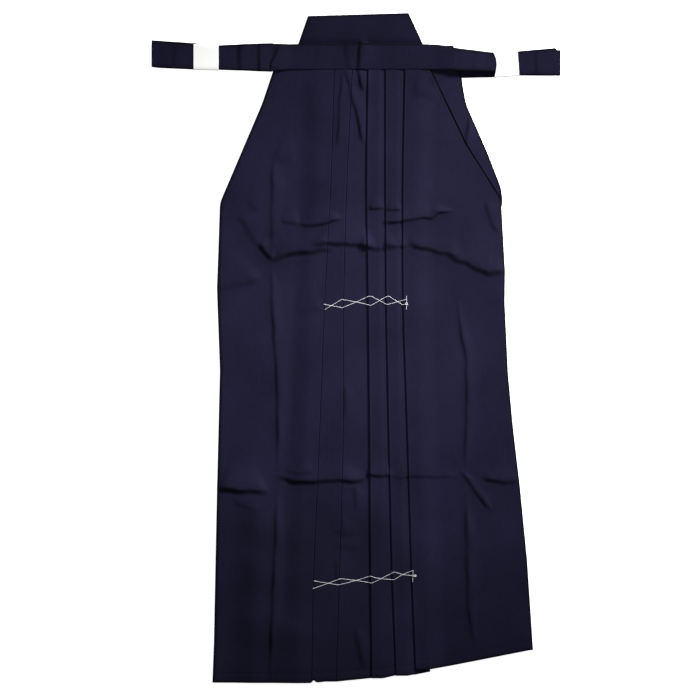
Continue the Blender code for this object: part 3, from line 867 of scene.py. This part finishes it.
def make_tie(name, tie, number):
    """A strap along its folded path, a little uneven from layer to layer."""
    path = tie_path(tie, number)
    xs, tops, bottoms = zip(*sorted(tie.rows))
    tangent = np.gradient(path[:, :2], axis=0)
    tangent /= np.linalg.norm(tangent, axis=1)[:, None]
    normal = np.stack([-tangent[:, 1], tangent[:, 0]], axis=1)
    rings = []
    shades = []
    for (x, z, layer), (nx, nz) in zip(path, normal):
        top = np.interp(x, xs, tops)
        bottom = np.interp(x, xs, bottoms)
        slip = 0.9 * math.sin(1.9 * layer + 0.013 * x + number) if layer > 0.2 else 0.0
        half = (top - bottom) / 2
        section = strap_section(half - abs(slip), tie.pitch * STRAP_SHARE / 2, 4, 10)
        y = (top + bottom) / 2 + slip * 0.8 + section[:, 0]
        wave = 0.12 * np.sin(x / 13.0 + y / 9.0 + number)
        # painted shade along the strap's edges, and on its top layer's creases
        shade = np.exp(-(((half - np.abs(section[:, 0])) / EDGE_SHADE_WIDTH) ** 2))
        if layer < 0.5:
            lift, drops = crease_relief(TIE_CREASES, np.full_like(y, x), y)
            wave = wave + lift
            shade = np.maximum(shade, CREASE_SHADE * drops)
        rings.append(np.stack([x + nx * section[:, 1], y, z + nz * section[:, 1] + wave], axis=1))
        shades.append(shade)
    # painted shade: the right strap takes the darker copy of the navy, the left one the plain navy
    material = CLOTH_MATERIAL if name.endswith("left") else SHADED_CLOTH_MATERIAL
    return ring_loft(f"cloth_{name}", rings, shades, material)


# ---- paper bands
PAPER = 0.35
PAPER_SIDES = 48  # points round a band
PAPER_CORNER = 9  # the higher, the squarer its corners
PAPER_SIZE = (42.0, 12.0)  # about how wide and high it is
PAPER_BOW = 6.2  # how far the upper corner of the right band's inner edge spreads
PAPER_SLANT = 1.4  # how far the ends of its outer edge lean
PAPER_BANDS = {  # x, top and bottom of both edges
    "paper_band_left": ((-252.7, 474.8, 432.4), (-213.7, 471.6, 431.6)),
    "paper_band_right": ((218.8, 460.6, 420.6), (252.7, 462.3, 423.3)),
}


def paper_lean(across, t):
    """How far the right band's edges spread, from its inner edge at t = 0 to its outer one."""
    return PAPER_BOW * (0.8 + 0.2 * across) * across**2 * (1 - t) + PAPER_SLANT * across * t


def paper_ring(name, t, low, high):
    """One section of a paper band, at t from 0 at its first edge to 1 at its second."""
    x, top, bottom = (a + (b - a) * t for a, b in zip(*PAPER_BANDS[name]))
    middle, half = (top + bottom) / 2, (top - bottom) / 2 + PAPER
    ring = []
    for k in range(PAPER_SIDES):
        angle = 2 * math.pi * k / PAPER_SIDES
        cy, cz = math.cos(angle), math.sin(angle)
        stretch = (abs(cy) ** PAPER_CORNER + abs(cz) ** PAPER_CORNER) ** (-1 / PAPER_CORNER)
        lean = paper_lean(cy * stretch, t) if name == "paper_band_right" else 0.0
        ring.append((x - lean, middle + half * cy * stretch,
                     (low + high) / 2 + (high - low) / 2 * cz * stretch))
    return ring


def make_paper_band(name, stations=9):
    """A strip of paper wrapped once round the straps."""
    low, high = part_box(name)[0].z / MM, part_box(name)[1].z / MM - 0.3
    places = np.linspace(0, 1, stations)
    grid = np.array([paper_ring(name, t, low, high) for t in places])
    middle = (grid.sum(axis=1) + grid[:, 0])[:, None] / (PAPER_SIDES + 1)
    inner = middle + (grid - middle) * np.array([1] + [1 - 2 * PAPER / size for size in PAPER_SIZE])
    points = np.concatenate([grid.reshape(-1, 3), inner.reshape(-1, 3)])
    offset = stations * PAPER_SIDES
    faces = []
    for i in range(PAPER_SIDES):
        j = (i + 1) % PAPER_SIDES
        for s in range(0, offset - PAPER_SIDES, PAPER_SIDES):
            a, b, c, d = s + i, s + j, s + PAPER_SIDES + j, s + PAPER_SIDES + i
            faces += [(a, b, c, d), (d + offset, c + offset, b + offset, a + offset)]
        for s in (0, offset - PAPER_SIDES):
            faces.append((s + i, s + j, s + j + offset, s + i + offset))
    return make_mesh(f"wrap_{name}", points, faces, PAPER_MATERIAL, sharp=60)


# ---- the threads
THREAD = 0.27  # half the thickness of a basting thread
BASTING = (  # two threads and a bar at their end in the upper row, and in the lower one
    ((-50.2, 67.8), (-21.2, 62.2), (2.3, 72.2), (19.7, 80.3), (23.7, 80.3),
        (48.4, 67.2), (78.5, 75.4)),
    ((-48.7, 59.5), (-22.2, 75.4), (0, 71.4), (23.4, 65.9), (47.4, 79.8),
        (51.2, 80.3), (71.9, 67.2), (78.5, 67.5)),
    ((78.5, 80.7), (78.8, 70.0), (78.5, 60.0)),
    ((-65.7, -362.8), (-27.9, -369.3), (-1.4, -362.8), (22.3, -355.6),
        (29.3, -357.9), (41.7, -360), (59.6, -361.2), (71.9, -353.3), (88.9, -346.7)),
    ((-67.5, -375.1), (-43.1, -366.5), (-24, -359.3), (-1.4, -362.3),
        (25, -366.5), (39.8, -359), (59.6, -349.2), (73.8, -353.3), (91.3, -355.6)),
    ((88.9, -346.7), (88.6, -355.0), (88.0, -364.7)),
)
KNOTS = ((78.8, 68.3), (91.7, -355.1))


def surface_under(objects):
    """A function that gives the height of the topmost of these objects at x, y."""
    trees = [BVHTree.FromObject(o, bpy.context.evaluated_depsgraph_get()) for o in objects]

    def height(x, y):
        found = [tree.ray_cast(Vector((x * MM, y * MM, 0.1)), Vector((0, 0, -1)))[0]
                 for tree in trees]
        return max([hit.z / MM for hit in found if hit is not None], default=0.0)

    return height


def tube(points, radius, sides=6):
    """(points, faces) of a round thread through points."""
    points = np.asarray(points, float)
    tangent = np.gradient(points, axis=0)
    tangent /= np.linalg.norm(tangent, axis=1)[:, None] + 1e-9
    side = np.cross(tangent, (0, 0, 1))
    side /= np.linalg.norm(side, axis=1)[:, None] + 1e-9
    up = np.cross(side, tangent)
    made = []
    for p, s, u in zip(points, side, up):
        for k in range(sides):
            angle = 2 * math.pi * k / sides
            made.append(p + radius * (math.cos(angle) * s + math.sin(angle) * u))
    return made, ring_faces(len(points), sides)


def join(parts):
    points, faces = [], []
    for part_points, part_faces in parts:
        offset = len(points)
        points += [tuple(p) for p in part_points]
        faces += [tuple(i + offset for i in face) for face in part_faces]
    return points, faces


def along(points, step):
    """Points every step along a polyline."""
    points = np.asarray(points, float)
    lengths = np.concatenate([[0], np.cumsum(np.linalg.norm(np.diff(points, axis=0), axis=1))])
    count = max(2, int(lengths[-1] / step) + 1)
    at = np.linspace(0, lengths[-1], count)
    return np.stack([np.interp(at, lengths, points[:, k]) for k in range(points.shape[1])], axis=1)


def make_basting(height):
    """The two rows of basting threads on top of the pleats, and their knots."""
    parts = []
    for number, points in enumerate(BASTING):
        route = along(points, 1.6)
        gap = THREAD * (0.8 + 0.5 * (number % 2))
        raised = np.array([(x, y, height(x, y) + gap) for x, y in route])
        padded_z = np.pad(raised[:, 2], 2, mode="edge")
        raised[:, 2] = [max(padded_z[i:i + 5]) for i in range(len(raised))]
        parts.append(tube(raised, THREAD))
    for x, y in KNOTS:
        z = height(x, y) + 1.2
        for k in range(3):
            angles = np.linspace(0, 2 * math.pi, 11)
            loop = [(x + 1.9 * math.cos(a + k), y + 1.5 * math.sin(a + 0.7 * k),
                     z + 0.5 * math.sin(2 * a + k)) for a in angles]
            parts.append(tube(loop, THREAD))
    return make_mesh("basting_threads", *join(parts), THREAD_MATERIAL, sharp=80)


# ---- the stitches
STITCH = 0.28  # half the thickness of a stitch
STITCH_PITCH = 5.0
STITCH_LENGTH = 3.2
HEM_INSET = 4.0  # from a side seam to the first stitch of the hem
SLIT_INSET = 5.0  # from the edge of the slit to its stitches
SLIT_RANGE = (424.0, 236.0)  # y of the first and last stitch there


def stitch_row(route, height):
    """Stitches along a route of (x, y) points, each one a short thread that dips at its ends."""
    route = along(route, STITCH_PITCH)
    parts = []
    for (ax, ay), (bx, by) in zip(route[:-1], route[1:]):
        share = STITCH_LENGTH / math.hypot(bx - ax, by - ay)
        dots = []
        for t, sink in ((0.0, 0.5), (0.25, -0.1), (0.75, -0.1), (1.0, 0.5)):
            x, y = ax + (bx - ax) * t * share, ay + (by - ay) * t * share
            dots.append((x, y, height(x, y) - sink * STITCH))
        heights = [dot[2] for dot in dots]
        if max(heights) - min(heights) < 1.0:  # a stitch doesn't bridge the step at a fold
            parts.append(tube(dots, STITCH, 4))
    return parts


def hem_route(left, right, inset=(0.0, 0.0)):
    """The stitched line above the hem from one line to another, as two (x, y) points."""
    return [(line.points[-1][1] + move, line.hem + HEM_DEPTH)
            for line, move in zip((left, right), inset)]


def make_stitches(height):
    """The stitches along the hem, in three stretches between the pleats, and along the slit."""
    slit_y = np.linspace(*SLIT_RANGE, 40)
    slit_x = through(RIGHT_EDGE.points, slit_y, RIGHT_EDGE.rounding)
    routes = (
        hem_route(LEFT_EDGE, LEFT_OUTER, (HEM_INSET, 0.0)),
        hem_route(LEFT_INNER, RIGHT_INNER),
        hem_route(RIGHT_OUTER, RIGHT_EDGE, (0.0, -HEM_INSET)),
        list(zip(slit_x - SLIT_INSET, slit_y)),
    )
    parts = [part for route in routes for part in stitch_row(route, height)]
    return make_mesh("seam_stitches", *join(parts), STITCH_MATERIAL, sharp=80)


# ---- stage
FLOOR_GLOW = 0.84
WORLD_LIGHT = 0.2
Lamp = namedtuple("Lamp", "name place aim size power spread")  # metres, watts and degrees
LAMPS = (
    Lamp("overhead", (0.0, 0.1, 0.95), (0.0, 0.1, 0.0), 0.35, 1.0, 92.0),
    Lamp("side", (2.15, 1.85, 1.3), (-0.07, -0.01, 0.0), 0.6, 9.6, 29.0),
)
CAMERA_PLACE = (-0.0094, -0.0035, 4.0)
COVERED = 1.092  # width of floor that the picture covers, in metres
WHITE = (1.0, 1.0, 1.0, 1.0)


def make_floor():
    """A pale floor that the garment lies on, with an even glow of its own."""
    bpy.ops.mesh.primitive_plane_add(size=12.0, location=(0, 0, -0.0004))
    floor = bpy.context.object
    floor.name = "floor"
    surface = plain_material("pale_floor", (0.93, 0.93, 0.93), 0.9, 6.0, 0.0)
    fill(surface.node_tree.nodes["Principled BSDF"],
         {"Emission Color": WHITE, "Emission Strength": FLOOR_GLOW})
    floor.data.materials.append(surface)


def make_light():
    """Soft studio light: a dim white world and two area lamps."""
    world = bpy.data.worlds.new("studio")
    world.use_nodes = True
    fill(world.node_tree.nodes["Background"], {"Color": WHITE, "Strength": WORLD_LIGHT})
    bpy.context.scene.world = world
    for lamp in LAMPS:
        data = bpy.data.lights.new(lamp.name, "AREA")
        data.size = lamp.size
        data.energy = lamp.power
        data.spread = math.radians(lamp.spread)
        light = bpy.data.objects.new(lamp.name, data)
        light.location = lamp.place
        way = Vector(lamp.aim) - Vector(lamp.place)
        light.rotation_euler = way.to_track_quat("-Z", "Y").to_euler()
        light.visible_camera = False
        bpy.context.scene.collection.objects.link(light)


def make_camera():
    """A camera that looks straight down, with its picture's top towards the waist."""
    bpy.context.scene.view_settings.view_transform = "Standard"
    data = bpy.data.cameras.new("camera")
    data.sensor_width = 36.0
    data.lens = data.sensor_width * CAMERA_PLACE[2] / COVERED
    camera = bpy.data.objects.new("camera", data)
    camera.location = CAMERA_PLACE
    bpy.context.scene.collection.objects.link(camera)
    bpy.context.scene.camera = camera


# ---- assembly
# A record of a cloth piece laid out flat, with its built folds: in metres, and its area if no
# rectangle.
Cut = namedtuple("Cut", "width length area held rests_on")


def place(piece, node_name, slot="navy_cloth"):
    """Put a piece in the garment's one body, in place of a CAD node if it has one."""
    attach(piece, "root")
    if node_name:
        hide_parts(node_name)
    return piece


def main():
    make_floor()
    make_light()
    make_camera()
    fronts = [place(front_panel(front), front.name) for front in FRONTS]
    place(back_left_panel(), "back_left")
    place(back_right_panel(), "back_right")
    for side, word in ((-1, "left"), (1, "right")):
        place(inner_leg(side, word), f"inner_leg_{word}")
    place(make_band(), "front_band")
    place(make_board(), "back_board")
    for number, (name, tie) in enumerate(TIES.items()):
        place(make_tie(name, tie, number), name)
    for name in PAPER_BANDS:
        place(make_paper_band(name), name, "paper")
    height = surface_under(fronts)
    place(make_basting(height), None, "basting_thread")
    place(make_stitches(height), None)


main()
